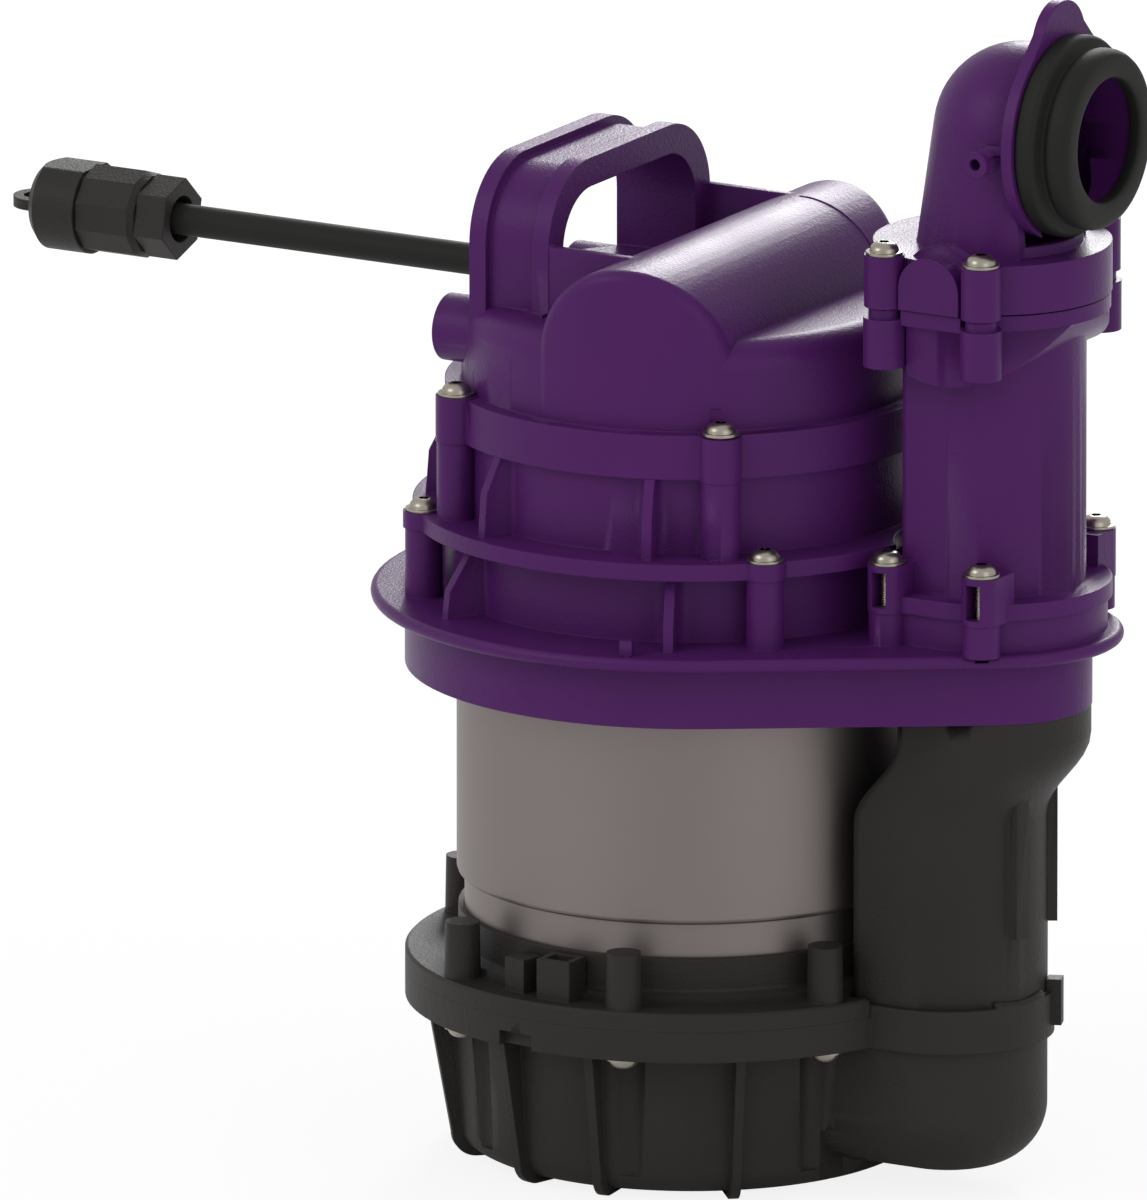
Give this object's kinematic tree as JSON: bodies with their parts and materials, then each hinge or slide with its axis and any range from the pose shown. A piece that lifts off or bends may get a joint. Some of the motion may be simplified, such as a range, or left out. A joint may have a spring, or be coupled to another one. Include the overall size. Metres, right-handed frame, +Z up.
{
  "type": "submersible drainage pump",
  "caption": "Submersible pump: steel motor can between a black volute and purple housings with handle, side riser, elbow outlet, lead and plug.",
  "frame": {"origin": "centre of the suction mouth in the volute's underside, on the shaft axis", "axes": "+Z up along the shaft, +X from the shaft towards the riser and the way the outlet points, +Y along the handle"},
  "size_m": [0.4258, 0.2048, 0.391],
  "materials": {
    "black_plastic": "matt",
    "purple_plastic": "satin",
    "stainless": "satin",
    "screw_steel": "satin",
    "rubber": "matt",
    "seal_ceramic": "polished",
    "laminations": "matt",
    "copper_wire": "enamelled",
    "aluminium": "cast",
    "brass": "satin"
  },
  "bodies": {
    "pump": {"volute": "black_plastic", "volute_seal": "rubber", "volute_screws": "screw_steel", "cover_plate": "black_plastic", "riser": "black_plastic", "riser_seals": "rubber", "seal_seat": "seal_ceramic", "lower_bearing": "screw_steel", "upper_bearing": "screw_steel", "lower_shield": "aluminium", "stator_core": "laminations", "windings": "copper_wire", "motor_can": "stainless", "can_seals": "rubber", "base_dish": "purple_plastic", "ledge_seal": "rubber", "mid_housing": "purple_plastic", "ledge_screws": "screw_steel", "cover_seal": "rubber", "top_cover": "purple_plastic", "cover_screws": "screw_steel", "capacitor": "aluminium", "capacitor_clip": "aluminium", "terminal_block": "seal_ceramic", "cable_gland": "rubber", "discharge_pipe": "purple_plastic", "pipe_seal": "rubber", "pipe_screws": "screw_steel", "hinge_pin": "stainless", "elbow_seal": "rubber", "elbow": "purple_plastic", "elbow_screws": "screw_steel", "outlet_seal": "rubber", "lead": "rubber", "plug_nut": "black_plastic", "plug_body": "black_plastic", "plug_contacts": "brass"},
    "rotor": {"shaft": "stainless", "rotor_core": "laminations", "impeller": "black_plastic", "impeller_nut": "stainless", "seal_ring": "laminations", "seal_spring": "stainless", "lower_race": "screw_steel", "upper_race": "screw_steel"},
    "flap": {"flap": "rubber"},
    "cap": {"plug_cap": "black_plastic"}
  },
  "joints": [
    {"name": "rotor_spin", "type": "hinge", "parent": "pump", "child": "rotor", "pos_m": [0, 0, 0], "axis": [0, 0, 1], "continuous": true},
    {"name": "flap_swing", "type": "hinge", "parent": "pump", "child": "flap", "pos_m": [0.1112, -0.0245, 0.296], "axis": [1, 0, 0], "range_deg": [0, 55]},
    {"name": "cap_pull", "type": "slide", "parent": "pump", "child": "cap", "axis": [-1, 0, 0], "range_m": [0, 0.015]}
  ]
}
